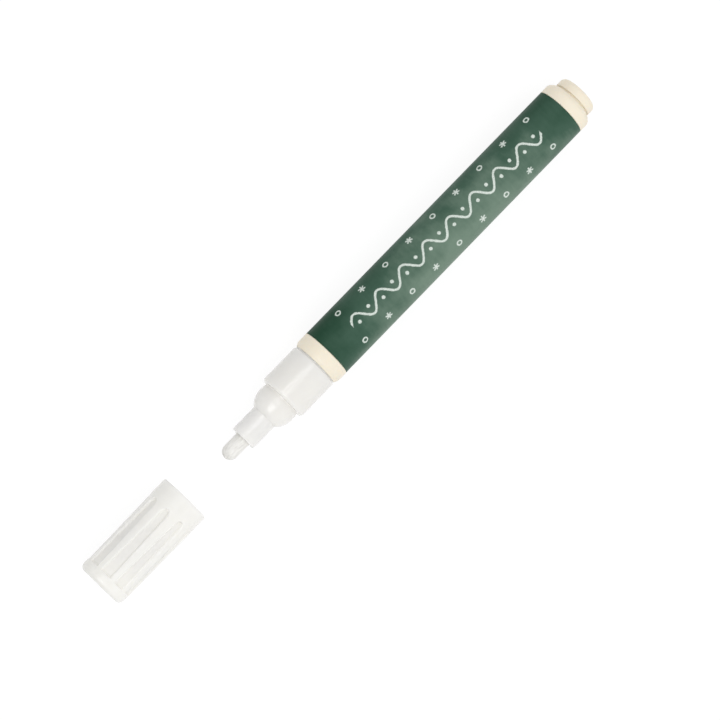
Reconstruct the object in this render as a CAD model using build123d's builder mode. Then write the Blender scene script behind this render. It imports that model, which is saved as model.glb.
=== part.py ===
from build123d import *
import os
from math import asin, cos, degrees, pi, radians, sin, sqrt

# Liquid chalk marker with a sprung pump valve, lying on its side with its cap pulled off in line with it.
# X runs along the marker towards its writing tip, Z is up and the marker lies on Z = 0. Sizes in mm.

# Barrel
barrel_diameter = 15.0
barrel_length = 99.45
barrel_wall = 1.3
front_collar_length = 4.3
rear_collar_length = 3.85
front_collar_slope = 1.2
front_collar_drop = 0.6
rear_collar_bevel = 0.7

# Label film, in a shallow seat between the two collars
label_seat_depth = 0.2
label_thickness = 0.15
glue_thickness = 0.02
label_edge_gap = 0.1
label_seam_gap = 0.4
label_seam_angle = 205.0

# Fit of the pressed joints
press_clearance = 0.03
press_lead = 0.5

# Tail plug
plug_boss_diameter = 11.7
plug_boss_length = 3.65
plug_boss_bevel = 0.9
plug_skirt_inset = 0.7
plug_skirt_length = 8.0
plug_wall = 1.2

# Nozzle, from the barrel's mouth to the tip
spigot_length = 9.0
spigot_wall = 1.05
grip_diameter = 14.25
grip_length = 12.5
grip_bevel = 0.5
dome_diameter = 11.8
dome_straight = 2.6
tube_diameter = 7.6
tube_length = 8.1
tube_bevel = 0.25
valve_room = 1.5
vent_count = 4
vent_diameter = 0.9

# Nib
nib_diameter = 4.5
nib_length = 24.0
nib_reach = 7.0
nib_clearance = 0.1
nib_ink_space = 0.75
nib_chamfer = 0.3
press_travel = 2.5

# Pump valve
flange_thickness = 1.2
flange_clearance = 0.3
sleeve_wall = 1.0
seat_wall = 1.5
seat_gap = 0.08
cover_thickness = 1.2
cover_skirt_length = 2.5
cover_skirt_wall = 0.8
window_count = 4
window_width = 0.9
window_arc = 42.0
head_diameter = 6.0
head_rim = 1.0
stem_diameter = 3.0
stem_web = 0.9
stem_clearance = 0.4
stem_contact_gap = 0.05
spring_diameter = 4.6
spring_wire = 0.5
spring_length = 8.0
spring_turns = 4
wire_sides = 6
spring_end_gap = 0.05
spring_guide_clearance = 0.3
guide_share = 0.4

# Mixing ball, loose in the ink
ball_diameter = 4.0
ball_clearance = 0.3
ball_rest_share = 0.4

# Cap, its panels recessed between narrow ribs
cap_length = 32.4
cap_mouth_diameter = 15.0
cap_end_diameter = 14.6
cap_end_bevel = 1.1
cap_mouth_bevel = 0.25
cap_wall = 1.2
cap_end_wall = 1.4
cap_clearance = 0.15
cap_mouth_lead = 2.6
cap_gap = 15.0
mouth_band = 5.3
end_band = 3.1
panel_count = 9
panel_depth = 0.55
panel_end_width = 3.9
panel_mouth_width = 2.5
panel_point = 2.0
panel_turn = -8.4

# Liner pressed into the end of the cap
liner_mouth = 10.5
liner_wall = 0.8
liner_clearance = 0.12
liner_socket_depth = 7.0

# Overrun of the cuts
overrun = 1.0

# Radii of the pieces, from the outside in
barrel_radius = barrel_diameter / 2
bore_radius = barrel_radius - barrel_wall
label_seat_radius = barrel_radius - label_seat_depth
spigot_radius = bore_radius - press_clearance
chamber_radius = spigot_radius - spigot_wall
sleeve_radius = chamber_radius - press_clearance
sleeve_bore_radius = sleeve_radius - sleeve_wall
flange_radius = bore_radius - flange_clearance
cover_skirt_radius = sleeve_bore_radius - press_clearance
head_radius = head_diameter / 2
stem_radius = stem_diameter / 2
seat_hole_radius = stem_radius + stem_clearance
nib_radius = nib_diameter / 2
nib_bore_radius = nib_radius + nib_clearance
nib_chamber_radius = nib_radius + nib_ink_space
dome_radius = dome_diameter / 2
tube_radius = tube_diameter / 2
wire_radius = spring_wire / 2
coil_radius = spring_diameter / 2 - wire_radius
guide_radius = coil_radius - wire_radius - spring_guide_clearance
ball_radius = ball_diameter / 2
liner_bore_radius = tube_radius + liner_clearance
liner_radius = liner_bore_radius + liner_wall

# Places along the marker, counted from its front end to its tail, with X = 0 halfway along the whole part
dome_turn = asin(tube_radius / dome_radius)
dome_length = dome_straight + dome_radius * cos(dome_turn)
nose_length = grip_length + dome_length + tube_length + nib_reach
whole_length = plug_boss_length + barrel_length + nose_length + cap_gap + cap_length
tail_end = -whole_length / 2
barrel_rear = tail_end + plug_boss_length
barrel_front = barrel_rear + barrel_length
shoulder = barrel_front + grip_length
dome_end = shoulder + dome_length
tube_end = dome_end + tube_length
nib_tip = tube_end + nib_reach
nib_rear = nib_tip - nib_length
cap_mouth = nib_tip + cap_gap
cap_end = cap_mouth + cap_length
label_rear = barrel_rear + rear_collar_length
label_front = barrel_front - front_collar_length
plug_skirt_rear = barrel_rear + plug_skirt_inset
plug_skirt_front = plug_skirt_rear + plug_skirt_length
spigot_rear = barrel_front - spigot_length
flange_rear = spigot_rear - flange_thickness
cover_rear = flange_rear - cover_thickness
head_rear = flange_rear + spring_length
cone_rear = head_rear + head_rim
cone_front = cone_rear + head_radius - stem_radius
seat_front = cone_rear + head_radius + seat_gap - seat_hole_radius
sleeve_front = seat_front + seat_wall
stem_front = nib_rear - stem_contact_gap

# The marker's axis, a plane through it for turned profiles and planes square to it
axis_height = barrel_radius
marker_axis = Axis((0, 0, axis_height), (1, 0, 0))
turning_plane = Plane((0, 0, axis_height), x_dir=(1, 0, 0), z_dir=(0, -1, 0))


def square_plane(x):
    """Plane square to the marker at x, facing its tip, with Y and Z as its own axes."""
    return Plane((x, 0, axis_height), x_dir=(0, 1, 0), z_dir=(1, 0, 0))


def outer_rim(piece, place):
    """Widest round edge of a piece at one of its ends: 0 the tail end, -1 the tip end."""
    rims = piece.edges().filter_by(GeomType.CIRCLE).group_by(Axis.X)[place]
    return rims.sort_by(SortBy.RADIUS)[-1]


# Barrel: a moulded tube with a bevelled and a sloped collar and a shallow seat for the label between them
with BuildPart() as barrel:
    with BuildSketch(turning_plane):
        with BuildLine():
            Polyline(
                (barrel_rear, bore_radius),
                (barrel_rear, barrel_radius),
                (label_rear, barrel_radius),
                (label_rear, label_seat_radius),
                (label_front, label_seat_radius),
                (label_front, barrel_radius),
                (barrel_front - front_collar_slope, barrel_radius),
                (barrel_front, barrel_radius - front_collar_drop),
                (barrel_front, bore_radius),
                close=True,
            )
        make_face()
    revolve(axis=marker_axis)
    chamfer(outer_rim(barrel, 0), rear_collar_bevel)

# Label: printed film glued round the barrel, its two edges meeting in a fine seam on the far side
label_inner_radius = label_seat_radius + glue_thickness
label_radius = label_inner_radius + label_thickness
seam_span = label_seam_gap / label_radius * 180 / pi
with BuildPart() as label:
    with BuildSketch(turning_plane.rotated((label_seam_angle, 0, 0))):
        with BuildLine():
            Polyline(
                (label_rear + label_edge_gap, label_inner_radius),
                (label_rear + label_edge_gap, label_radius),
                (label_front - label_edge_gap, label_radius),
                (label_front - label_edge_gap, label_inner_radius),
                close=True,
            )
        make_face()
    revolve(axis=marker_axis, revolution_arc=360 - seam_span)

# Tail plug: a cup whose skirt is pressed into the barrel and whose boss stands out of its end
plug_boss_radius = plug_boss_diameter / 2
plug_bore_radius = plug_boss_radius - plug_wall
with BuildPart() as tail_plug:
    with BuildSketch(turning_plane):
        with BuildLine():
            Polyline(
                (tail_end, 0),
                (tail_end, plug_boss_radius),
                (plug_skirt_rear, plug_boss_radius),
                (plug_skirt_rear, spigot_radius),
                (plug_skirt_front - press_lead, spigot_radius),
                (plug_skirt_front, spigot_radius - press_lead),
                (plug_skirt_front, plug_bore_radius),
                (tail_end + plug_wall, plug_bore_radius),
                (tail_end + plug_wall, 0),
                close=True,
            )
        make_face()
    revolve(axis=marker_axis)
    chamfer(outer_rim(tail_plug, 0), plug_boss_bevel)

# Nozzle: grip, ball-shaped dome and slim tube outside, room for the valve and a vented nib bore inside
nib_bore_rear = shoulder + dome_straight
chamber_front = sleeve_front + valve_room
with BuildPart() as nozzle:
    with BuildSketch(turning_plane):
        with BuildLine():
            Polyline(
                (spigot_rear, chamber_radius),
                (spigot_rear, spigot_radius - press_lead),
                (spigot_rear + press_lead, spigot_radius),
                (barrel_front, spigot_radius),
                (barrel_front, grip_diameter / 2),
                (shoulder, grip_diameter / 2),
                (shoulder, dome_radius),
                (nib_bore_rear, dome_radius),
            )
            CenterArc((nib_bore_rear, 0), dome_radius, degrees(dome_turn), 90 - degrees(dome_turn))
            Polyline(
                (dome_end, tube_radius),
                (tube_end, tube_radius),
                (tube_end, nib_bore_radius + nib_chamfer),
                (tube_end - nib_chamfer, nib_bore_radius),
                (nib_bore_rear, nib_bore_radius),
                (nib_bore_rear, nib_chamber_radius),
                (chamber_front, nib_chamber_radius),
                (chamber_front, chamber_radius),
                (spigot_rear, chamber_radius),
            )
        make_face()
    revolve(axis=marker_axis)
    with BuildSketch(square_plane(nib_bore_rear)):
        with PolarLocations(nib_bore_radius, vent_count, start_angle=180 / vent_count):
            Circle(vent_diameter / 2)
    extrude(amount=tube_end - nib_bore_rear + overrun, mode=Mode.SUBTRACT)
    tip_rims = nozzle.edges().filter_by(GeomType.CIRCLE)
    chamfer(tip_rims.group_by(Axis.X)[-1].sort_by(SortBy.RADIUS)[-1], tube_bevel)
    grip_rims = tip_rims.filter_by(lambda rim: abs(rim.radius - grip_diameter / 2) < press_clearance)
    chamfer(grip_rims.sort_by(Axis.X)[-1], grip_bevel)

# Nib: a fibre rod with a bullet tip, free to slide in the nozzle
with BuildPart() as nib:
    with BuildSketch(turning_plane):
        with BuildLine():
            Polyline(
                (nib_tip, 0),
                (nib_rear, 0),
                (nib_rear, nib_radius - nib_chamfer),
                (nib_rear + nib_chamfer, nib_radius),
                (nib_tip - nib_radius, nib_radius),
            )
            CenterArc((nib_tip - nib_radius, 0), nib_radius, 0, 90)
        make_face()
    revolve(axis=marker_axis)

# Valve sleeve: pressed into the nozzle from behind, with a flange at its back and a conical seat in front
with BuildPart() as valve_sleeve:
    with BuildSketch(turning_plane):
        with BuildLine():
            Polyline(
                (flange_rear, sleeve_bore_radius),
                (flange_rear, flange_radius),
                (spigot_rear, flange_radius),
                (spigot_rear, sleeve_radius),
                (sleeve_front - press_lead, sleeve_radius),
                (sleeve_front, sleeve_radius - press_lead),
                (sleeve_front, seat_hole_radius),
                (seat_front, seat_hole_radius),
                (seat_front - sleeve_bore_radius + seat_hole_radius, sleeve_bore_radius),
                close=True,
            )
        make_face()
    revolve(axis=marker_axis)

# Valve core: a sealing cone, a guide for the spring behind it and a cross-shaped stem that ink runs along
guide_length = (spring_length - press_travel) * guide_share
with BuildPart() as valve_core:
    with BuildSketch(turning_plane):
        with BuildLine():
            Polyline(
                (head_rear - guide_length, 0),
                (head_rear - guide_length, guide_radius),
                (head_rear, guide_radius),
                (head_rear, head_radius),
                (cone_rear, head_radius),
                (cone_front, stem_radius),
                (cone_front, 0),
                close=True,
            )
        make_face()
    revolve(axis=marker_axis)
    with BuildSketch(square_plane(cone_front)):
        with PolarLocations(0, 2, angular_range=180):
            Rectangle(stem_diameter, stem_web)
    extrude(amount=stem_front - cone_front)

# Valve spring: an open coil between the cover and the back of the sealing head, six flats for its wire
coil_rear = flange_rear + spring_end_gap + wire_radius
coil_front = head_rear - spring_end_gap - wire_radius
coil_pitch = (coil_front - coil_rear) / spring_turns


def coil_point(turn):
    """Point of the coil's middle line after so many turns."""
    angle = 2 * pi * turn
    return Vector(
        coil_rear + coil_pitch * turn,
        coil_radius * sin(angle),
        axis_height + coil_radius * cos(angle),
    )


def coil_heading(turn):
    """Direction of the coil's middle line after so many turns."""
    angle = 2 * pi * turn
    climb = coil_pitch / (2 * pi)
    return Vector(climb, coil_radius * cos(angle), -coil_radius * sin(angle)).normalized()


with BuildPart() as valve_spring:
    with BuildLine() as coil:
        for quarter in range(spring_turns * 4):
            start, end = coil_point(quarter / 4), coil_point((quarter + 1) / 4)
            out, home = coil_heading(quarter / 4), coil_heading((quarter + 1) / 4)
            # The two arcs of a quarter turn share a tangent and meet halfway between their handles
            span, both = end - start, out + home
            bend = 2 * (1 - out.dot(home))
            reach = (sqrt(span.dot(both) ** 2 + bend * span.dot(span)) - span.dot(both)) / bend
            near, far = start + out * reach, end - home * reach
            TangentArc(start, (near + far) / 2, tangent=out)
            TangentArc((near + far) / 2, end, tangent=far - near)
    with BuildSketch(Plane(coil_point(0), z_dir=coil_heading(0))):
        RegularPolygon(wire_radius, wire_sides)
    sweep(path=coil.wires()[0])

coil_samples = [coil_point(step / 24) for step in range(spring_turns * 24 + 1)]
coil_gap = min(
    (there - here).length
    for index, here in enumerate(coil_samples)
    for there in coil_samples[index + 12 :]
) - spring_wire
print(f"valve_spring least gap to itself {coil_gap:.2f} mm")

# Valve cover: a disc behind the sleeve with a skirt inside it, ink windows and a post for the spring
cover_bore_radius = cover_skirt_radius - cover_skirt_wall
window_radius = (guide_radius + cover_bore_radius) / 2
with BuildPart() as valve_cover:
    with BuildSketch(turning_plane):
        with BuildLine():
            Polyline(
                (cover_rear, 0),
                (cover_rear, flange_radius),
                (flange_rear, flange_radius),
                (flange_rear, cover_skirt_radius),
                (flange_rear + cover_skirt_length, cover_skirt_radius),
                (flange_rear + cover_skirt_length, cover_bore_radius),
                (flange_rear, cover_bore_radius),
                (flange_rear, guide_radius),
                (flange_rear + guide_length, guide_radius),
                (flange_rear + guide_length, 0),
                close=True,
            )
        make_face()
    revolve(axis=marker_axis)
    with BuildSketch(square_plane(cover_rear)):
        with PolarLocations(0, window_count):
            SlotArc(CenterArc((0, 0), window_radius, -window_arc / 2, window_arc), window_width)
    extrude(amount=cover_thickness, mode=Mode.SUBTRACT)

# Mixing ball: lies on the lowest line of the barrel's bore, between the tail plug and the valve
ball_rear_stop = plug_skirt_front + ball_radius + ball_clearance
ball_front_stop = cover_rear - ball_radius - ball_clearance
ball_x = ball_rear_stop + (ball_front_stop - ball_rear_stop) * ball_rest_share
ball_height = axis_height - bore_radius + ball_clearance + ball_radius
with BuildPart(Plane((ball_x, 0, ball_height))) as mixing_ball:
    Sphere(ball_radius)

# Cap shell: a tapered moulded cup, its mouth fitting over the nozzle's dome, with pointed recessed panels
cap_end_radius = cap_end_diameter / 2
cap_mouth_bore_radius = dome_radius + cap_clearance
panel_floor = cap_end_radius - panel_depth
cap_bore_radius = panel_floor - cap_wall
cap_mouth_bore_end = cap_mouth + dome_straight + cap_mouth_lead
socket_end = cap_end - cap_end_wall
socket_mouth = socket_end - liner_socket_depth
socket_radius = liner_radius + press_clearance
panel_tip = cap_mouth + mouth_band
panel_back = cap_end - end_band
with BuildPart() as cap_shell:
    with BuildSketch(turning_plane):
        with BuildLine():
            Polyline(
                (cap_mouth, cap_mouth_bore_radius),
                (cap_mouth, cap_mouth_diameter / 2),
                (cap_end, cap_end_radius),
                (cap_end, 0),
                (socket_end, 0),
                (socket_end, socket_radius),
                (socket_mouth, socket_radius),
                (socket_mouth, cap_bore_radius),
                (cap_mouth_bore_end, cap_bore_radius),
                (cap_mouth_bore_end, cap_mouth_bore_radius),
                close=True,
            )
        make_face()
    revolve(axis=marker_axis)
    chamfer(outer_rim(cap_shell, -1), cap_end_bevel)
    chamfer(outer_rim(cap_shell, 0), cap_mouth_bevel)
    for panel in range(panel_count):
        angle = radians(panel_turn + panel * 360 / panel_count)
        outward = Vector(0, sin(angle), cos(angle))
        with BuildSketch(Plane(outward * panel_floor + (0, 0, axis_height), x_dir=(1, 0, 0), z_dir=outward)):
            with BuildLine():
                Polyline(
                    (panel_tip, 0),
                    (panel_tip + panel_point, panel_mouth_width / 2),
                    (panel_back, panel_end_width / 2),
                    (panel_back, -panel_end_width / 2),
                    (panel_tip + panel_point, -panel_mouth_width / 2),
                    close=True,
                )
            make_face()
        extrude(amount=panel_depth + overrun, mode=Mode.SUBTRACT)

# Cap liner: a thin inner cup in the cap's socket, its chamfered mouth sealing round the slim tube
liner_front = cap_mouth + liner_mouth
with BuildPart() as cap_liner:
    with BuildSketch(turning_plane):
        with BuildLine():
            Polyline(
                (liner_front, liner_radius),
                (socket_end, liner_radius),
                (socket_end, 0),
                (socket_end - liner_wall, 0),
                (socket_end - liner_wall, liner_bore_radius),
                (liner_front + liner_wall, liner_bore_radius),
                close=True,
            )
        make_face()
    revolve(axis=marker_axis)

print(f"nib_press travel {press_travel:.2f} mm")
print(f"mixing_ball runs {ball_rear_stop - ball_x:.2f} to {ball_front_stop - ball_x:.2f} mm")
print(f"cap_pull seats at {shoulder - cap_mouth:.2f} mm")

pieces = {
    "barrel": barrel,
    "label": label,
    "tail_plug": tail_plug,
    "nozzle": nozzle,
    "nib": nib,
    "valve_sleeve": valve_sleeve,
    "valve_core": valve_core,
    "valve_spring": valve_spring,
    "valve_cover": valve_cover,
    "mixing_ball": mixing_ball,
    "cap_shell": cap_shell,
    "cap_liner": cap_liner,
}
os.makedirs("parts", exist_ok=True)
for name, piece in pieces.items():
    piece.part.label = name
    export_step(piece.part, f"parts/{name}.step")
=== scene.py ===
from math import asin, cos, pi, radians, sin

import bpy
import numpy as np
from mathutils import Matrix, Vector


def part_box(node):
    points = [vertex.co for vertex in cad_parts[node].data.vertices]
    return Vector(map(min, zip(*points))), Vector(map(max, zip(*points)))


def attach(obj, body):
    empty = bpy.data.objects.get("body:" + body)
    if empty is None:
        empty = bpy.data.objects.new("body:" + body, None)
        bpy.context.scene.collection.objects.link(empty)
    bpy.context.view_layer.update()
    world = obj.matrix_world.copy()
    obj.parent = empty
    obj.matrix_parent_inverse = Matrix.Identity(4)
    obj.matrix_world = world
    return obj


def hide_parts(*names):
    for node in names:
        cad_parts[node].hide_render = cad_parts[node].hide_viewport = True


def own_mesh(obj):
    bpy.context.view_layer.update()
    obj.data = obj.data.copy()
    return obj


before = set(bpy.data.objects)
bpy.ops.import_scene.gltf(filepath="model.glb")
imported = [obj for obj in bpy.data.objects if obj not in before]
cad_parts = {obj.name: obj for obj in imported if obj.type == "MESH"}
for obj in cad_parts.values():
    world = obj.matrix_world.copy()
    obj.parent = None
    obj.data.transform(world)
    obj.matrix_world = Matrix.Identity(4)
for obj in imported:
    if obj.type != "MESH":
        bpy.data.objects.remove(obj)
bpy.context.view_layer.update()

# Barrel: the ink tank, a tube moulded in cream polypropylene. It has a sloped collar at each end, and between
# them the wall steps down into a seat for the label. The tail plug and the nozzle are pressed into its two
# open ends.
barrel_low, barrel_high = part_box("barrel")
label_low, label_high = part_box("label")
axis_height = (barrel_low.z + barrel_high.z) / 2
barrel_radius = (barrel_high.z - barrel_low.z) / 2
barrel_wall = 0.0013
label_seat_depth = 0.0002
label_edge_gap = 0.0001
rear_collar_slope = 0.0010
rear_collar_drop = 0.0010
rear_collar_round = 0.0013
front_collar_slope = 0.0012
front_collar_drop = 0.0006
front_collar_round = 0.0020
collar_edge_round = 0.00008
bore_edge_round = 0.00012
front_edge_round = 0.0003
full_sides = 192
full_turn = np.linspace(0, 2 * pi, full_sides, endpoint=False)
noise_low, noise_high = 0.3, 0.7


def rounded(corners, steps=8, hold=0.0001):
    """Profile of straight runs through the corners (x, r, round), with each corner cut by an arc.

    The arc touches both runs, round / tan(half the angle between them) away from the corner, and its points
    swing about the arc's middle in even steps. A point just before and just after it, up to hold away, keeps
    the shading of the runs straight. A profile that leaves the axis starts and ends with round 0."""
    place = np.array([corner[:2] for corner in corners])
    radius = np.array([corner[2] for corner in corners])
    back = np.roll(place, 1, 0) - place
    run = np.linalg.norm(back, axis=1)
    back /= run[:, None]
    on = -np.roll(back, -1, 0)
    half = np.arccos(np.clip((back * on).sum(1), -1, 1)) / 2
    cut = radius / np.tan(half)
    before = np.minimum(hold, (run - cut - np.roll(cut, 1)) / 3)
    after = np.roll(before, -1)
    share = np.linspace(0, 1, steps + 1)[:, None]
    profile = []
    for number in range(len(corners)):
        here, rear, front = place[number], back[number], on[number]
        if not radius[number]:
            profile.append(here[None])
            continue
        turn = pi - 2 * half[number]
        start, end = here + rear * cut[number], here + front * cut[number]
        middle = here + (rear + front) / np.linalg.norm(rear + front) * radius[number] / sin(half[number])
        swing = np.sin((1 - share) * turn) * (start - middle) + np.sin(share * turn) * (end - middle)
        profile += [
            [start + rear * before[number]], middle + swing / sin(turn), [end + front * after[number]],
        ]
    return np.concatenate(profile)


def turned(name, x, r, angle=full_turn, height=axis_height, seam=False):
    """Turned form: profile point (x, r) at each angle lies at (x, r sin(angle), height + r cos(angle)).

    x, r and angle are grids of profile points by angles, or one column or row of them. A profile that starts
    and ends on the axis closes in two poles, and any other runs outside towards the tip and back inside to
    its start. The form goes all round, or with a seam its first and last angle end in flat faces."""
    x, r, angle = np.broadcast_arrays(*(grid if grid.ndim == 2 else grid[:, None] for grid in (x, r)), angle)
    grid = np.stack([x, r * np.sin(angle), height + r * np.cos(angle)], -1)
    rows, sides = x.shape
    poled = r[0].max() == 0
    if poled:
        points = np.concatenate([grid[0, :1], grid[1:-1].reshape(-1, 3), grid[-1, :1]])
        number = np.arange(1, len(points) - 1).reshape(rows - 2, sides)
        number = np.vstack([np.zeros((1, sides), int), number, np.full((1, sides), len(points) - 1)])
    else:
        points = grid.reshape(-1, 3)
        number = np.arange(len(points)).reshape(rows, sides)
        number = np.vstack([number, number[:1]])
    if not seam:
        number = np.hstack([number, number[:, :1]])
    cells = np.stack([number[:-1, :-1], number[1:, :-1], number[1:, 1:], number[:-1, 1:]], -1)
    if poled:
        near, far = cells[0][:, :3], cells[-1][:, [0, 1, 3]]
        faces = near.tolist() + cells[1:-1].reshape(-1, 4).tolist() + far.tolist()
    else:
        faces = cells.reshape(-1, 4).tolist()
    if seam:
        faces += [number[:-1, -1].tolist(), number[:-1, 0][::-1].tolist()]
    return solid(name, points, faces)


def solid(name, points, faces, crease=radians(32)):
    """Mesh object of these points and faces, smooth except along edges that turn by more than the crease."""
    mesh = bpy.data.meshes.new(name)
    mesh.from_pydata(points.tolist(), [], faces)
    mesh.polygons.foreach_set("use_smooth", np.ones(len(mesh.polygons), bool))
    mesh.set_sharp_from_angle(angle=crease)
    piece = bpy.data.objects.new(name, mesh)
    bpy.context.scene.collection.objects.link(piece)
    return piece


def blank_finish(name):
    """New material with one shader, as (material, node tree, shader)."""
    material = bpy.data.materials.new(name)
    material.use_nodes = True
    return material, material.node_tree, material.node_tree.nodes["Principled BSDF"]


def noise_at(tree, place, density, detail, stretch):
    """Soft noise between 0 and 1, with density times stretch patches to the place's unit along each axis."""
    scale = tree.nodes.new("ShaderNodeMapping")
    noise = tree.nodes.new("ShaderNodeTexNoise")
    scale.inputs["Scale"].default_value = stretch
    noise.inputs["Scale"].default_value = density
    noise.inputs["Detail"].default_value = detail
    tree.links.new(place, scale.inputs["Vector"])
    tree.links.new(scale.outputs["Vector"], noise.inputs["Vector"])
    return noise.outputs["Fac"]


def mottle(tree, per_metre, detail=3.0, stretch=(1, 1, 1)):
    """Soft noise through the piece, by its own places in metres."""
    place = tree.nodes.new("ShaderNodeTexCoord")
    return noise_at(tree, place.outputs["Object"], per_metre, detail, stretch)


def spread(tree, value, low, high, start=noise_low, end=noise_high):
    """Value carried from the range start to end onto the range low to high."""
    ranged = tree.nodes.new("ShaderNodeMapRange")
    ranged.inputs["From Min"].default_value = start
    ranged.inputs["From Max"].default_value = end
    ranged.inputs["To Min"].default_value = low
    ranged.inputs["To Max"].default_value = high
    tree.links.new(value, ranged.inputs["Value"])
    return ranged.outputs["Result"]


def tinted(tree, value, *colours):
    """Colour that runs evenly through the given colours as the value crosses the range of the noise."""
    node = tree.nodes.new("ShaderNodeValToRGB")
    elements = node.color_ramp.elements
    places = np.linspace(noise_low, noise_high, len(colours))
    for place in places[1:-1]:
        elements.new(place)
    for element, place, colour in zip(elements, places, colours):
        element.position = place
        element.color = (*colour, 1)
    tree.links.new(value, node.inputs["Fac"])
    return node.outputs["Color"]


def dented(tree, shader, value, depth):
    """Surface relief of that depth in metres from a value between 0 and 1."""
    bump = tree.nodes.new("ShaderNodeBump")
    bump.inputs["Distance"].default_value = depth
    tree.links.new(value, bump.inputs["Height"])
    tree.links.new(bump.outputs["Normal"], shader.inputs["Normal"])


def soaking(shader, weight, depth, tint=(1, 1, 0.96)):
    """Share of the light that soaks into the plastic, and how deep in metres, times the tint by colour."""
    shader.inputs["Subsurface Weight"].default_value = weight
    shader.inputs["Subsurface Radius"].default_value = tint
    shader.inputs["Subsurface Scale"].default_value = depth


def cream_plastic():
    """Satin cream polypropylene: a faint drift of colour, moulding haze in the gloss, light that soaks in."""
    material, tree, shader = blank_finish("cream_plastic")
    drift = mottle(tree, per_metre=90, stretch=(0.4, 1, 1))
    haze = mottle(tree, per_metre=1400)
    tint = tinted(tree, drift, (0.915, 0.835, 0.685), (0.94, 0.865, 0.715))
    tree.links.new(tint, shader.inputs["Base Color"])
    tree.links.new(spread(tree, haze, 0.36, 0.46), shader.inputs["Roughness"])
    shader.inputs["IOR"].default_value = 1.49
    shader.inputs["Specular IOR Level"].default_value = 0.35
    soaking(shader, weight=0.12, depth=0.0006, tint=(1, 0.8, 0.55))
    dented(tree, shader, haze, depth=0.000006)
    return material


cream = cream_plastic()
bore_radius = barrel_radius - barrel_wall
label_seat_radius = barrel_radius - label_seat_depth
label_rear, label_front = label_low.x - label_edge_gap, label_high.x + label_edge_gap
barrel_profile = rounded([
    (barrel_low.x, bore_radius, bore_edge_round),
    (barrel_low.x, barrel_radius - rear_collar_drop, collar_edge_round),
    (barrel_low.x + rear_collar_slope, barrel_radius, rear_collar_round),
    (label_rear, barrel_radius, collar_edge_round),
    (label_rear, label_seat_radius, 0),
    (label_front, label_seat_radius, 0),
    (label_front, barrel_radius, collar_edge_round),
    (barrel_high.x - front_collar_slope, barrel_radius, front_collar_round),
    (barrel_high.x, barrel_radius - front_collar_drop, front_edge_round),
    (barrel_high.x, bore_radius, bore_edge_round),
])
barrel = turned("barrel_tube", *barrel_profile.T)
barrel.data.materials.append(cream)
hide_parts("barrel")
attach(barrel, "marker")

# Tail plug: a cup of the same cream plastic, pressed into the rear of the barrel. Its skirt grips the bore,
# and its rounded boss stands out of the end, with a fine groove at its foot, and closes the tank.
plug_low, plug_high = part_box("tail_plug")
skirt_radius = (plug_high.z - plug_low.z) / 2
plug_boss_radius = 0.00585
plug_boss_round = 0.0013
plug_seam_depth = 0.00048
plug_seam_width = 0.0007
plug_seam_round = 0.0003
plug_skirt_inset = 0.0007
plug_wall = 0.0012
plug_lead = 0.0005
plug_edge_round = 0.00015
plug_bore_radius = plug_boss_radius - plug_wall
plug_skirt_rear = barrel_low.x + plug_skirt_inset
plug_seam = barrel_low.x - plug_seam_width
plug_seam_radius = plug_boss_radius - plug_seam_depth
plug_floor = plug_low.x + plug_wall
plug_profile = rounded([
    (plug_low.x, 0, 0),
    (plug_low.x, plug_boss_radius, plug_boss_round),
    (plug_seam, plug_boss_radius, plug_seam_round),
    (plug_seam, plug_seam_radius, plug_edge_round),
    (plug_skirt_rear, plug_seam_radius, 0),
    (plug_skirt_rear, skirt_radius, plug_edge_round),
    (plug_high.x - plug_lead, skirt_radius, plug_edge_round),
    (plug_high.x, skirt_radius - plug_lead, plug_edge_round),
    (plug_high.x, plug_bore_radius, plug_edge_round),
    (plug_floor, plug_bore_radius, plug_edge_round),
    (plug_floor, 0, 0),
])
tail_plug = turned("tail_plug_cup", *plug_profile.T)
tail_plug.data.materials.append(cream)
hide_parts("tail_plug")
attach(tail_plug, "marker")

# Label: a thin printed film wrapped round the barrel and glued into its seat, its two edges meeting
# underneath. The print is a clouded green like a wiped chalkboard, with a plain chalk-drawn border of waves,
# dots, stars and rings.
label_radius = (label_high.z - label_low.z) / 2
film_thickness = 0.00015
film_edge_round = 0.00004
film_sides = 240
seam_start, seam_span = radians(155), radians(3.07)
film_profile = rounded([
    (label_low.x, label_radius - film_thickness, 0),
    (label_low.x, label_radius, film_edge_round),
    (label_high.x, label_radius, film_edge_round),
    (label_high.x, label_radius - film_thickness, 0),
], steps=3)
film_angle = np.linspace(seam_start - 2 * pi + seam_span, seam_start, film_sides)
label = turned("label_film", *film_profile.T, angle=film_angle, seam=True)


def unrolled(piece, name):
    """UV map of the film laid flat: millimetres from its rear edge, and millimetres round from its top."""
    count = len(piece.data.vertices)
    place = np.zeros(count * 3)
    piece.data.vertices.foreach_get("co", place)
    x, y, z = place.reshape(-1, 3).T
    angle = np.arctan2(y, z - axis_height)
    angle = np.where(angle > seam_start + seam_span / 2, angle - 2 * pi, angle)
    flat = np.stack([x - label_low.x, angle * label_radius], -1) * 1000
    corner = np.zeros(len(piece.data.loops), int)
    piece.data.loops.foreach_get("vertex_index", corner)
    piece.data.uv_layers.new(name=name).data.foreach_set("uv", flat[corner].ravel())


unrolled(label, "unrolled")


def blended(tree, share, base, colour):
    """Base colour with that share of another colour over it."""
    mix = tree.nodes.new("ShaderNodeMix")
    mix.data_type = "RGBA"
    mix.inputs["B"].default_value = (*colour, 1)
    tree.links.new(share, mix.inputs["Factor"])
    tree.links.new(base, mix.inputs["A"])
    return mix.outputs["Result"]


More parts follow.
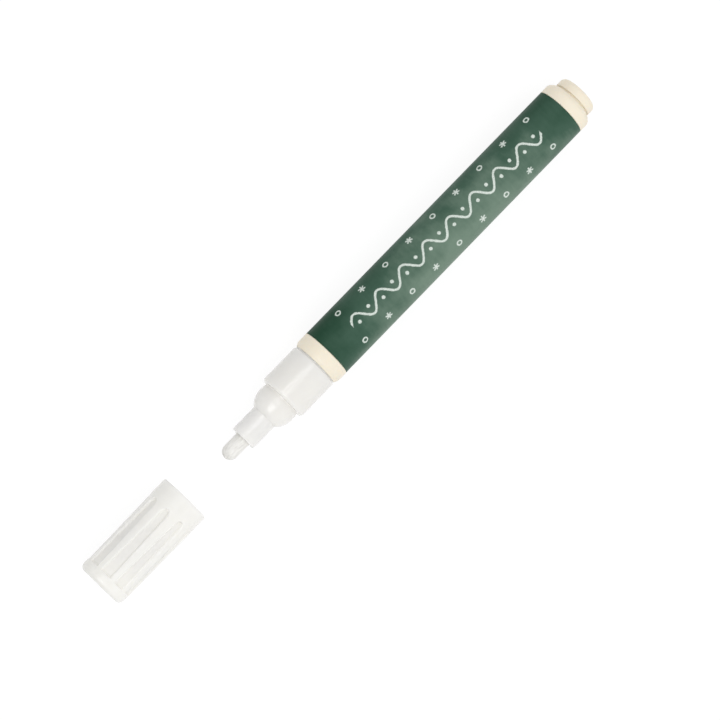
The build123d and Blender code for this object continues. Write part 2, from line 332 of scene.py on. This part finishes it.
def label_print():
    """Printed film: clouds of three greens, lighter along one side partly by a wipe and partly as painted
    light, under broken pale mint chalk.
    """
    material, tree, shader = blank_finish("label_film")

    def calc(operation, *values):
        """Result of one sum on sockets or plain numbers."""
        node = tree.nodes.new("ShaderNodeMath")
        node.operation = operation
        for socket, value in zip(node.inputs, values):
            if isinstance(value, (int, float)):
                socket.default_value = value
            else:
                tree.links.new(value, socket)
        return node.outputs["Value"]

    def flat_noise(per_mm, detail, stretch=(1, 1, 1)):
        """Soft noise over the film laid flat, by its places in millimetres."""
        return noise_at(tree, flat.outputs["UV"], per_mm, detail, stretch)

    flat = tree.nodes.new("ShaderNodeUVMap")
    flat.uv_map = "unrolled"
    split = tree.nodes.new("ShaderNodeSeparateXYZ")
    tree.links.new(flat.outputs["UV"], split.inputs["Vector"])
    along, around = split.outputs["X"], split.outputs["Y"]

    # The board is wiped lightest a little behind its middle, and it is lighter towards the key lamp's side,
    # partly from the wipe and partly as painted light
    wipe_place, wipe_fall, painted_side_light_slope = 43.0, 1.1e-4, 0.013
    ground, cloud_depth, smear_depth = 0.615, 0.08, 0.016
    away = calc("SUBTRACT", along, wipe_place)
    wipe_and_painted_light = calc("MULTIPLY", calc("MULTIPLY", away, away), -wipe_fall)
    wipe_and_painted_light = calc("ADD", wipe_and_painted_light, calc("MULTIPLY", around, painted_side_light_slope))
    patches = flat_noise(per_mm=0.14, detail=5, stretch=(0.8, 1, 1))
    cloud = spread(tree, patches, ground - cloud_depth, ground + cloud_depth, start=0.25, end=0.75)
    streaks = flat_noise(per_mm=0.9, detail=3, stretch=(1, 0.25, 1))
    smear = spread(tree, streaks, -smear_depth, smear_depth)
    green = tinted(
        tree, calc("ADD", calc("ADD", wipe_and_painted_light, smear), cloud),
        (0.013, 0.056, 0.030), (0.052, 0.112, 0.077), (0.175, 0.255, 0.196),
    )

    # Chalk border: waves along the barrel with a dot in each bay, and a row of stars and rings on either
    # side. Each shape is a distance in millimetres that is negative inside the stroke
    lane, row, pitch, wave_count, wave_height = 23.47, 5.6, 9.1, 8, 1.9
    stroke, fine_stroke, dot, star, ring = 0.3, 0.2, 0.5, 1.05, 0.7
    bay_share, lift_share = 0.25, 0.35
    wobble_depth, softness = 0.35, 0.1
    first, last = pitch, pitch + wave_count * pitch

    def nearest(value, spacing, offset):
        """Distance from the nearest of the places that are spacing apart, one of them at the offset."""
        shifted = calc("FLOORED_MODULO", calc("ADD", value, spacing / 2 - offset), spacing)
        return calc("SUBTRACT", shifted, spacing / 2)

    def reach(run, off):
        """Distance of a place that is run along and off to the side: the root of run run + off off."""
        return calc("SQRT", calc("ADD", calc("MULTIPLY", run, run), calc("MULTIPLY", off, off)))

    def joined(shapes):
        """Shape that is inside where any of the shapes is: the least of their distances."""
        total = shapes[0]
        for shape in shapes[1:]:
            total = calc("MINIMUM", total, shape)
        return total

    in_lane = nearest(around, lane, 0)
    off_row = calc("SUBTRACT", calc("ABSOLUTE", in_lane), row)
    phase = calc("MULTIPLY", along, 2 * pi / pitch)
    slope = calc("MULTIPLY", calc("COSINE", phase), wave_height * 2 * pi / pitch)
    off_wave = calc("ABSOLUTE", calc("SUBTRACT", in_lane, calc("MULTIPLY", calc("SINE", phase), wave_height)))
    steepness = calc("SQRT", calc("ADD", calc("MULTIPLY", slope, slope), 1))
    wave = calc("SUBTRACT", calc("DIVIDE", off_wave, steepness), stroke)
    lift = wave_height * lift_share
    dots = [
        calc("SUBTRACT", reach(nearest(along, pitch, pitch * share), calc("ADD", in_lane, off)), dot)
        for share, off in ((bay_share, lift), (1 - bay_share, -lift))
    ]
    off_star = nearest(along, 2 * pitch, 0)
    strokes = []
    for turn in (radians(30), radians(90), radians(150)):
        run = calc("ADD", calc("MULTIPLY", off_star, cos(turn)), calc("MULTIPLY", off_row, sin(turn)))
        off = calc("SUBTRACT", calc("MULTIPLY", off_row, cos(turn)), calc("MULTIPLY", off_star, sin(turn)))
        past = calc("SUBTRACT", calc("ABSOLUTE", run), star)
        beside = calc("SUBTRACT", calc("ABSOLUTE", off), fine_stroke)
        strokes.append(calc("MAXIMUM", past, beside))
    stars = joined(strokes)
    off_ring = calc("ABSOLUTE", calc("SUBTRACT", reach(nearest(along, 2 * pitch, pitch), off_row), ring))
    rings = calc("SUBTRACT", off_ring, fine_stroke)
    beyond = calc("MAXIMUM", calc("SUBTRACT", first, along), calc("SUBTRACT", along, last))
    waves = calc("MAXIMUM", joined([wave, *dots]), beyond)
    rows = calc("MAXIMUM", joined([stars, rings]), calc("SUBTRACT", beyond, pitch / 2))
    drawn = joined([waves, rows])
    wobble = calc("MULTIPLY", calc("SUBTRACT", flat_noise(per_mm=1.1, detail=3), 0.5), wobble_depth)
    grain = spread(tree, flat_noise(per_mm=4.5, detail=2), 0.6, 1, start=0.4, end=0.56)
    inside = spread(tree, calc("ADD", drawn, wobble), 1, 0, start=-softness, end=softness)

    chalked = blended(tree, calc("MULTIPLY", inside, grain), green, (0.80, 0.87, 0.81))
    tree.links.new(chalked, shader.inputs["Base Color"])
    tree.links.new(spread(tree, flat_noise(per_mm=2.0, detail=3), 0.42, 0.52), shader.inputs["Roughness"])
    shader.inputs["Specular IOR Level"].default_value = 0.12
    return material


label.data.materials.append(label_print())
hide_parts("label")
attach(label, "marker")

# Nozzle: one milky translucent moulding of a wide grip with a rounded front, a dome on a slight neck and a
# slim tube. Its spigot is pressed into the barrel, with a groove left behind the grip, the valve sits inside
# it, and four fine vents run beside the nib's bore.
nozzle_low, nozzle_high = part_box("nozzle")
grip_radius = (nozzle_high.z - nozzle_low.z) / 2
spigot_wall = 0.00105
spigot_lead = 0.0005
spigot_edge_round = 0.00015
grip_length = 0.0125
grip_nose = 0.0003
grip_round = 0.00095
grip_rear_round = 0.0004
grip_seam_depth = 0.00038
grip_seam_width = 0.0004
dome_radius = 0.0059
dome_straight = 0.0026
dome_neck_depth = 0.00015
dome_neck_length = 0.0008
dome_neck_round = 0.0000375
dome_shade_fade_share = 0.625
tube_radius = 0.0038
tube_round = 0.0002
nib_bore_radius = 0.00235
nib_chamber_radius = 0.0030
nib_bore_chamfer = 0.0003
valve_room_reach = 0.002977
vent_count = 4
vent_radius = 0.00045
dome_steps = 24
grip_rear = barrel_high.x + grip_seam_width
grip_seam_radius = grip_radius - grip_seam_depth
shoulder = barrel_high.x + grip_length
grip_front = shoulder + grip_nose
dome_foot = grip_front + dome_neck_length
dome_neck_radius = dome_radius - dome_neck_depth
nib_bore_rear = shoulder + dome_straight
chamber_radius = skirt_radius - spigot_wall
valve_room_end = barrel_high.x + valve_room_reach


def arc(middle, radius, start, end, steps):
    """Profile points (middle + radius cos(turn), radius sin(turn)), with even turns from start to end."""
    turn = np.linspace(start, end, steps)
    return np.stack([middle + radius * np.cos(turn), radius * np.sin(turn)], -1)


dome = arc(nib_bore_rear, dome_radius, pi / 2, asin(tube_radius / dome_radius), dome_steps)
dome_end = dome[-1, 0]
rear_profile = rounded([
    (nozzle_low.x, chamber_radius, 0),
    (nozzle_low.x, skirt_radius - spigot_lead, spigot_edge_round),
    (nozzle_low.x + spigot_lead, skirt_radius, spigot_edge_round),
    (barrel_high.x, skirt_radius, 0),
    (barrel_high.x, grip_seam_radius, 0),
    (grip_rear, grip_seam_radius, 0),
    (grip_rear, grip_radius, grip_rear_round),
    (grip_front, grip_radius, grip_round),
    (grip_front, dome_neck_radius, 0),
    (dome_foot, dome_neck_radius, dome_neck_round),
    (dome_foot, dome_radius, dome_neck_round),
    (nib_bore_rear, dome_radius, 0),
])[:-1]
front_profile = rounded([
    (dome_end, tube_radius, 0),
    (nozzle_high.x, tube_radius, tube_round),
    (nozzle_high.x, nib_bore_radius + nib_bore_chamfer, 0),
    (nozzle_high.x - nib_bore_chamfer, nib_bore_radius, 0),
    (nib_bore_rear, nib_bore_radius, 0),
    (nib_bore_rear, nib_chamber_radius, 0),
    (valve_room_end, nib_chamber_radius, 0),
    (valve_room_end, chamber_radius, 0),
])[1:]
nozzle_x, nozzle_r = np.concatenate([rear_profile, dome, front_profile]).T

# A vent is a round groove whose middle lies on the bore's wall, so from the axis the wall is reached at
# bore cos(swing) + sqrt(vent^2 - (bore sin(swing))^2)
vent_swing = np.mod(full_turn, 2 * pi / vent_count) - pi / vent_count
vent_reach = vent_radius**2 - (nib_bore_radius * np.sin(vent_swing)) ** 2
vented = nib_bore_radius * np.cos(vent_swing) + np.sqrt(np.maximum(vent_reach, 0))
vented = np.where(vent_reach > 0, np.maximum(vented, nib_bore_radius), nib_bore_radius)
in_bore = (nozzle_r < nib_chamber_radius)[:, None]
nozzle = turned(
    "nozzle_moulding", nozzle_x, np.where(in_bore, np.maximum(vented, nozzle_r[:, None]), nozzle_r[:, None])
)


def milky_plastic(name, colour, deep_colour, thin_wall_and_shade_colour, soak, gloss, sheen, haze_step=0.06):
    """Natural polypropylene: glossy, milky all through, with a slight drift of density and a moulding haze.

    The piece's attribute for thin walls brings in a darker colour, for their greyer tone and for painted
    shade."""
    material, tree, shader = blank_finish(name)
    density = mottle(tree, per_metre=160, stretch=(0.35, 1, 1))
    haze = mottle(tree, per_metre=1100)
    tint = tinted(tree, density, deep_colour, colour)
    thin_wall_and_painted_shade = tree.nodes.new("ShaderNodeAttribute")
    thin_wall_and_painted_shade.attribute_name = "thin_wall_and_painted_shade"
    shown = blended(tree, thin_wall_and_painted_shade.outputs["Fac"], tint, thin_wall_and_shade_colour)
    tree.links.new(shown, shader.inputs["Base Color"])
    tree.links.new(spread(tree, haze, gloss, gloss + haze_step), shader.inputs["Roughness"])
    shader.inputs["IOR"].default_value = 1.49
    shader.inputs["Specular IOR Level"].default_value = sheen
    soaking(shader, weight=0.65, depth=soak)
    dented(tree, shader, haze, depth=0.000004)
    return material


def thinned_and_shaded(piece, share):
    """Attribute of the piece for thin walls and painted shade: a share from 0 to 1 at each of its points."""
    piece.data.attributes.new("thin_wall_and_painted_shade", "FLOAT", "POINT").data.foreach_set("value", share)


# Painted light on the nozzle: the grip, the neck and the dome's foot take the darker colour, the neck and
# dome's foot as painted shade next to the grip, fading out over the dome towards the tube;
# the grip's rounded front turns to the plain colour towards its face, a painted highlight along its rim.
dome_painted_shade = (dome_end - nozzle_x) / (dome_shade_fade_share * (dome_end - shoulder))
grip_painted_shade = np.where(nozzle_x > grip_front, 1, (grip_front - nozzle_x) / grip_round)
thinned_and_shaded(nozzle, np.repeat(np.clip(dome_painted_shade, 0, 1) * np.clip(grip_painted_shade, 0, 1), full_sides))
nozzle.data.materials.append(milky_plastic(
    "nozzle_plastic", colour=(0.925, 0.91, 0.875), deep_colour=(0.90, 0.885, 0.845),
    thin_wall_and_shade_colour=(0.855, 0.84, 0.805), soak=0.0025, gloss=0.09, sheen=0.55,
))
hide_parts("nozzle")
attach(nozzle, "marker")

# Valve: sleeve, cover and core of matte natural polyethylene, out of sight inside the nozzle. The sleeve is
# pressed in from behind, the cover closes it, and the core slides in it behind the nib. They keep their CAD
# shapes.


def natural_plastic(name, per_metre, dark, light, smoothest, roughest, weight, soak, relief):
    """Natural polyethylene: matte, with a fine moulded grain in its colour, gloss and relief."""
    material, tree, shader = blank_finish(name)
    grain = mottle(tree, per_metre)
    tree.links.new(tinted(tree, grain, dark, light), shader.inputs["Base Color"])
    tree.links.new(spread(tree, grain, smoothest, roughest), shader.inputs["Roughness"])
    soaking(shader, weight, depth=soak)
    dented(tree, shader, grain, depth=relief)
    return material


valve_finish = natural_plastic(
    "valve_plastic", per_metre=1800, dark=(0.78, 0.78, 0.75), light=(0.83, 0.83, 0.80),
    smoothest=0.5, roughest=0.62, weight=0.3, soak=0.001, relief=0.000008,
)
for node in ("valve_sleeve", "valve_cover", "valve_core"):
    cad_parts[node].data.materials.clear()
    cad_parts[node].data.materials.append(valve_finish)

# Valve spring: a coil of drawn stainless wire between the cover and the core's head. It closes the valve.
spring_low, spring_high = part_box("valve_spring")
wire_radius = 0.00025
spring_turns = 4
spring_rings = 48
wire_sides = 14
coil_radius = (spring_high.z - spring_low.z) / 2 - wire_radius


def coil(name, start, end, turns):
    """Round wire on a helix: the middle line is (start + pitch t, R sin 2 pi t, height + R cos 2 pi t).

    The section circles it in the plane of the outward direction and the line's binormal, and each end closes
    flat."""
    turn = np.linspace(0, turns, turns * spring_rings + 1)[:, None]
    swing = 2 * pi * turn
    climb = (end - start) / (2 * pi * turns)
    outward = np.hstack([0 * swing, np.sin(swing), np.cos(swing)])
    heading = np.hstack([climb + 0 * swing, coil_radius * np.cos(swing), -coil_radius * np.sin(swing)])
    heading /= np.linalg.norm(heading, axis=1, keepdims=True)
    binormal = np.cross(heading, outward)
    middle = outward * coil_radius + np.hstack([start + climb * swing, 0 * swing, axis_height + 0 * swing])
    around = np.linspace(0, 2 * pi, wire_sides, endpoint=False)[None, :, None]
    section = outward[:, None] * np.cos(around) + binormal[:, None] * np.sin(around)
    ring = middle[:, None] + wire_radius * section
    points = np.concatenate([ring.reshape(-1, 3), middle[:1], middle[-1:]])
    number = np.arange(ring.shape[0] * wire_sides).reshape(-1, wire_sides)
    number = np.hstack([number, number[:, :1]])
    cells = np.stack([number[:-1, :-1], number[:-1, 1:], number[1:, 1:], number[1:, :-1]], -1)
    first, last = len(points) - 2, len(points) - 1
    near = np.stack([number[0, 1:], number[0, :-1], np.full(wire_sides, first)], -1)
    far = np.stack([number[-1, :-1], number[-1, 1:], np.full(wire_sides, last)], -1)
    return solid(name, points, cells.reshape(-1, 4).tolist() + near.tolist() + far.tolist())


def drawn_steel(name, streak, roughness, clouding=0.1):
    """Stainless steel with fine drawn streaks or a polished, faintly clouded face."""
    material, tree, shader = blank_finish(name)
    grain = mottle(tree, per_metre=900, stretch=streak)
    tree.links.new(tinted(tree, grain, (0.52, 0.52, 0.53), (0.62, 0.62, 0.62)), shader.inputs["Base Color"])
    tree.links.new(spread(tree, grain, roughness, roughness + clouding), shader.inputs["Roughness"])
    shader.inputs["Metallic"].default_value = 1.0
    return material


spring = coil("valve_spring_coil", spring_low.x + wire_radius, spring_high.x - wire_radius, spring_turns)
spring.data.materials.append(drawn_steel("spring_steel", streak=(1, 4, 4), roughness=0.25))
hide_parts("valve_spring")
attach(spring, "marker")
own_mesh(spring)

# Mixing ball: a loose polished steel ball in the tank. It rolls along the bore's lowest line and stirs the
# ink when the marker is shaken.
ball_low, ball_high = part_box("mixing_ball")
ball_radius = (ball_high.z - ball_low.z) / 2
ball_middle = (ball_low + ball_high) / 2
ball_steps = 49
ball_profile = arc(ball_middle.x, ball_radius, pi, 0, ball_steps)
ball_profile[[0, -1], 1] = 0
ball = turned("mixing_ball_sphere", *ball_profile.T, height=ball_middle.z)
ball.data.materials.append(drawn_steel("ball_steel", streak=(1, 1, 1), roughness=0.12))
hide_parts("mixing_ball")
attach(ball, "mixing_ball")

# Nib: a rod of bonded polyester fibres, ground to a bullet at the writing end. It slides in the nozzle's
# bore, and pressing it opens the valve.
nib_low, nib_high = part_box("nib")
nib_radius = (nib_high.z - nib_low.z) / 2
nib_rear_chamfer = 0.0003
nib_steps = 20
nib_profile = np.concatenate([
    [(nib_low.x, 0), (nib_low.x, nib_radius - nib_rear_chamfer), (nib_low.x + nib_rear_chamfer, nib_radius)],
    arc(nib_high.x - nib_radius, nib_radius, pi / 2, 0, nib_steps),
])
nib = turned("nib_rod", *nib_profile.T)


def nib_fibre():
    """Bonded white fibre: matte, with fine streaks along the rod and shallow furrows between the fibres."""
    material, tree, shader = blank_finish("nib_fibre")
    strands = mottle(tree, per_metre=2200, detail=4, stretch=(0.25, 1, 1))
    tree.links.new(
        tinted(tree, strands, (0.76, 0.75, 0.72), (0.87, 0.86, 0.825), (0.94, 0.93, 0.90)),
        shader.inputs["Base Color"],
    )
    tree.links.new(spread(tree, strands, 0.75, 0.6), shader.inputs["Roughness"])
    shader.inputs["Specular IOR Level"].default_value = 0.25
    soaking(shader, weight=0.3, depth=0.0006)
    dented(tree, shader, strands, depth=0.00004)
    return material


nib.data.materials.append(nib_fibre())
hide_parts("nib")
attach(nib, "nib")

# Cap: a milky translucent cup that is pulled off and lies in front of the tip. Nine tapered panels are sunk
# into its outside between narrow ribs, each with an arched end towards the mouth, and the mouth is bevelled
# inside where it meets the grip's rounded front.
cap_low, cap_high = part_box("cap_shell")
cap_mouth_radius = 0.0075
cap_end_radius = 0.0073
cap_end_round = 0.0016
cap_mouth_round = 0.0003
cap_edge_round = 0.0001
cap_end_wall = 0.0014
cap_wall = 0.0012
cap_mouth_bore = 0.00605
cap_mouth_bore_length = 0.0052
cap_lead = 0.00085
cap_lead_round = 0.0002
socket_radius = 0.00475
socket_depth = 0.007
mouth_band = 0.0053
end_band = 0.0031
panel_count = 9
panel_depth = 0.00055
panel_end_width = 0.0039
panel_mouth_width = 0.0025
panel_arch = 0.0022
panel_draft = 0.0005
panel_least_floor = 0.000125
panel_turn = radians(-8.4)
mouth_rows, arch_rows, panel_rows, foot_rows, end_rows = 6, 40, 50, 12, 4
wall_columns = 7
floor_columns = 11
rib_columns = 5
panel_floor = cap_end_radius - panel_depth
cap_bore = panel_floor - cap_wall
cap_step = cap_low.x + cap_mouth_bore_length
socket_end = cap_high.x - cap_end_wall
socket_mouth = socket_end - socket_depth
panel_tip, panel_back = cap_low.x + mouth_band, cap_high.x - end_band
panel_foot = panel_back - 2 * panel_draft


def smooth(share):
    """Share from 0 to 1, eased at both ends as s s (3 - 2 s)."""
    share = np.clip(share, 0, 1)
    return share * share * (3 - 2 * share)


def panelled(x):
    """Cap's outside at the places x along it, as grids of radius, angle and panel depth by x and column.

    A sector of the cap has columns on half its rib, down the panel's wall, across its floor and up again. The
    panel's half width follows a straight taper and closes in an elliptic arch at its tip. The floor is flat,
    at panel_floor / cos(angle), and the wall eases between it and the cap's taper over the draft."""
    skin = cap_mouth_radius + (cap_end_radius - cap_mouth_radius) * (x - cap_low.x) / (cap_high.x - cap_low.x)
    share = np.clip((x - panel_tip) / (panel_back - panel_tip), 0, 1)
    width = (panel_mouth_width + (panel_end_width - panel_mouth_width) * share) / 2
    arch = np.clip((x - panel_tip) / panel_arch, 0, 1)
    width = np.maximum(width * np.sqrt(1 - (1 - arch) ** 2), panel_draft)
    inner = np.maximum(width - panel_draft, panel_least_floor)
    sunk = smooth((x - panel_tip) / panel_draft) * smooth((panel_back - x) / panel_draft)
    half_sector = pi / panel_count * skin
    across_floor = np.linspace(0, 1, floor_columns, endpoint=False)[1:]
    across_wall = np.linspace(0, 1, wall_columns)
    across_rib = np.linspace(0, 1, rib_columns)[1:-1]
    side = np.hstack([
        inner[:, None] * across_floor,
        inner[:, None] + (width - inner)[:, None] * across_wall,
        width[:, None] + (half_sector - width)[:, None] * across_rib,
    ])
    offset = np.hstack([-side[:, ::-1], 0 * inner[:, None], side, half_sector[:, None]])
    swing = offset / skin[:, None]
    down = smooth((width[:, None] - np.abs(offset)) / (width - inner)[:, None]) * sunk[:, None]
    floor = np.minimum(panel_floor / np.cos(swing), skin[:, None])
    radius = skin[:, None] + (floor - skin[:, None]) * down
    sector = 2 * pi / panel_count
    angle = np.hstack([swing + panel_turn + sector * panel for panel in range(panel_count)])
    return np.tile(radius, panel_count), angle, np.tile(down, panel_count)


panel_x = np.concatenate([
    np.linspace(cap_low.x + cap_mouth_round, panel_tip, mouth_rows, endpoint=False),
    panel_tip + panel_arch * smooth(np.linspace(0, 0.5, arch_rows, endpoint=False)) * 2,
    np.linspace(panel_tip + panel_arch, panel_foot, panel_rows, endpoint=False),
    np.linspace(panel_foot, panel_back, foot_rows, endpoint=False),
    np.linspace(panel_back, cap_high.x - cap_end_round, end_rows),
])
outside_r, outside_angle, outside_depth = panelled(panel_x)

# The inside ends on the mouth's outer round, and the closed end starts on its own, so that the panelled
# outside runs between the two
inside_profile = rounded([
    (socket_end, 0, 0),
    (socket_end, socket_radius, cap_edge_round),
    (socket_mouth, socket_radius, cap_edge_round),
    (socket_mouth, cap_bore, cap_edge_round),
    (cap_step, cap_bore, cap_edge_round),
    (cap_step, cap_mouth_bore, cap_edge_round),
    (cap_low.x + cap_lead, cap_mouth_bore, cap_lead_round),
    (cap_low.x, cap_mouth_bore + cap_lead, cap_edge_round),
    (cap_low.x, cap_mouth_radius, cap_mouth_round),
    (cap_high.x, cap_end_radius, 0),
], steps=5)[:-2]
end_profile = rounded([
    (cap_low.x, cap_mouth_radius, 0),
    (cap_high.x, cap_end_radius, cap_end_round),
    (cap_high.x, 0, 0),
])[2:]
even = np.ones((1, outside_angle.shape[1]))
cap_x = np.concatenate([inside_profile[:, :1] * even, panel_x[:, None] * even, end_profile[:, :1] * even])
cap_r = np.concatenate([inside_profile[:, 1:] * even, outside_r, end_profile[:, 1:] * even])
cap_angle = np.concatenate([
    outside_angle[:1] + 0 * inside_profile[:, :1], outside_angle, outside_angle[-1:] + 0 * end_profile[:, :1],
])
cap = turned("cap_cup", cap_x, cap_r, cap_angle)
# The sunk panels take the darker colour by their depth: partly the thinner wall's greyer tone, partly painted
# shade between the lighter ribs.
cap_thin_wall_and_shade = np.zeros(cap_r.shape)
cap_thin_wall_and_shade[len(inside_profile) : -len(end_profile)] = outside_depth
thinned_and_shaded(cap, np.concatenate([[0], cap_thin_wall_and_shade[1:-1].ravel(), [0]]))
cap.data.materials.append(milky_plastic(
    "cap_plastic", colour=(0.93, 0.917, 0.875), deep_colour=(0.90, 0.887, 0.84),
    thin_wall_and_shade_colour=(0.91, 0.895, 0.85), soak=0.002, gloss=0.18, sheen=0.45,
))
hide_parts("cap_shell")
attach(cap, "cap")

# Liner: a thin inner cup of natural polyethylene, pressed into the cap's socket. Its chamfered mouth seals
# round the slim tube, so that the nib stays wet.
liner_low, liner_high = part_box("cap_liner")
liner_radius = (liner_high.z - liner_low.z) / 2
liner_wall = 0.0008
liner_round = 0.0002
liner_bore = liner_radius - liner_wall
liner_floor = liner_high.x - liner_wall
liner_profile = rounded([
    (liner_floor, 0, 0),
    (liner_floor, liner_bore, liner_round),
    (liner_low.x + liner_wall, liner_bore, liner_round),
    (liner_low.x, liner_radius, liner_round),
    (liner_high.x, liner_radius, liner_round),
    (liner_high.x, 0, 0),
])
liner = turned("cap_liner_cup", *liner_profile.T)
liner.data.materials.append(natural_plastic(
    "liner_plastic", per_metre=1500, dark=(0.82, 0.82, 0.79), light=(0.86, 0.86, 0.83),
    smoothest=0.42, roughest=0.55, weight=0.5, soak=0.0012, relief=0.000006,
))
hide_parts("cap_liner")
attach(liner, "cap")

# Table: a plain white sheet under the marker. It shows as white paper with a faint shadow, and sends the
# light that falls on it back up to the marker.
table_half = 1.5
table_points = np.array([(-1, -1, 0), (1, -1, 0), (1, 1, 0), (-1, 1, 0)]) * table_half
table = solid("table", table_points, [[0, 1, 2, 3]])


def seen_white(tree):
    """1 for what the camera sees straight on, in a gloss or through a clear wall, and 0 for other light."""
    path = tree.nodes.new("ShaderNodeLightPath")
    seen = path.outputs["Is Camera Ray"]
    for ray in ("Is Glossy Ray", "Is Transmission Ray"):
        either = tree.nodes.new("ShaderNodeMath")
        either.operation = "MAXIMUM"
        tree.links.new(seen, either.inputs[0])
        tree.links.new(path.outputs[ray], either.inputs[1])
        seen = either.outputs["Value"]
    return seen


def white_paper():
    """White paper: pale and matt for the light that it sends back, almost its own white where it is seen."""
    material, tree, shader = blank_finish("white_paper")
    shader.inputs["Base Color"].default_value = (0.8, 0.8, 0.8, 1)
    shader.inputs["Roughness"].default_value = 0.9
    shader.inputs["Specular IOR Level"].default_value = 0.0
    faint = tree.nodes.new("ShaderNodeBsdfDiffuse")
    faint.inputs["Color"].default_value = (0.18, 0.18, 0.18, 1)
    glow = tree.nodes.new("ShaderNodeEmission")
    glow.inputs["Strength"].default_value = 0.87
    both = tree.nodes.new("ShaderNodeAddShader")
    choose = tree.nodes.new("ShaderNodeMixShader")
    tree.links.new(faint.outputs["BSDF"], both.inputs[0])
    tree.links.new(glow.outputs["Emission"], both.inputs[1])
    tree.links.new(seen_white(tree), choose.inputs["Fac"])
    tree.links.new(shader.outputs["BSDF"], choose.inputs[1])
    tree.links.new(both.outputs["Shader"], choose.inputs[2])
    tree.links.new(choose.outputs["Shader"], tree.nodes["Material Output"].inputs["Surface"])
    return material


table.data.materials.append(white_paper())

# Studio: an even white room, with a large soft lamp above the picture's lower right, which shades but shows
# in no gloss. Three dim strips overhead show only as the gloss along grip, dome and tube, and the gap before
# the last of them keeps it out of the cap's panels.
studio = bpy.data.worlds.new("studio")
bpy.context.scene.world = studio
studio.use_nodes = True
room_light = 0.77
background = studio.node_tree.nodes["Background"]
background.inputs["Color"].default_value = (1, 1, 1, 1)
level = studio.node_tree.nodes.new("ShaderNodeMapRange")
level.inputs["To Min"].default_value = room_light
level.inputs["To Max"].default_value = 1.0
studio.node_tree.links.new(seen_white(studio.node_tree), level.inputs["Value"])
studio.node_tree.links.new(level.outputs["Result"], background.inputs["Strength"])


def placed(place, right, up, back):
    """Place and turn of an object whose own axes point right, up and back."""
    return Matrix.Translation(place) @ Matrix((right, up, back)).transposed().to_4x4()


def soft_lamp(name, place, aim, width, length, power):
    """Rectangular lamp that the camera doesn't see, facing the aim, with its length along the marker."""
    lamp = bpy.data.lights.new(name, "AREA")
    lamp.shape = "RECTANGLE"
    lamp.size, lamp.size_y = length, width
    lamp.energy = power
    holder = bpy.data.objects.new(name, lamp)
    back = (Vector(place) - Vector(aim)).normalized()
    side = Vector((1, 0, 0)) - back * back.x
    side.normalize()
    holder.matrix_world = placed(place, side, back.cross(side), back)
    holder.visible_camera = False
    bpy.context.scene.collection.objects.link(holder)
    return holder


key_lamp = soft_lamp("key_lamp", place=(0.05, 0.47, 0.81), aim=(0, 0, 0), width=0.7, length=0.8, power=2.4)
key_lamp.visible_glossy = False
strip_height = 0.9
strip_glow = 9.07
strip_edges = {
    "strip_grip": (-0.075, -0.05, -0.36, 0.07),
    "strip_dome": (-0.05, -0.015, -0.46, 0.18),
    "strip_far": (0.14, 1.34, -0.46, 0.18),
}
for name, (rear, front, left, right) in strip_edges.items():
    middle, side = (rear + front) / 2, (left + right) / 2
    length, width = front - rear, right - left
    strip = soft_lamp(
        name, (middle, side, strip_height), (middle, side, 0), width, length, strip_glow * length * width
    )
    strip.visible_diffuse = False

# Camera: a long lens above the marker, leaning a little towards its tip and rolled so that the marker runs
# from the lower left to the upper right.
camera = bpy.data.objects.new("camera", bpy.data.cameras.new("camera"))
bpy.context.scene.collection.objects.link(camera)
bpy.context.scene.camera = camera
lean = radians(5.9)
roll = radians(45.87)
aim = Vector((0.00119, 0.00779, axis_height))
distance = 0.8565
camera.data.sensor_width = 36
camera.data.lens = 160
tailward = Vector((-cos(lean), 0, sin(lean)))
sideward = Vector((0, 1, 0))
back = Vector((sin(lean), 0, cos(lean)))
right = tailward * cos(roll) + sideward * sin(roll)
up = tailward * sin(roll) - sideward * cos(roll)
camera.matrix_world = placed(aim + back * distance, right, up, back)

bpy.context.scene.view_settings.view_transform = "Standard"
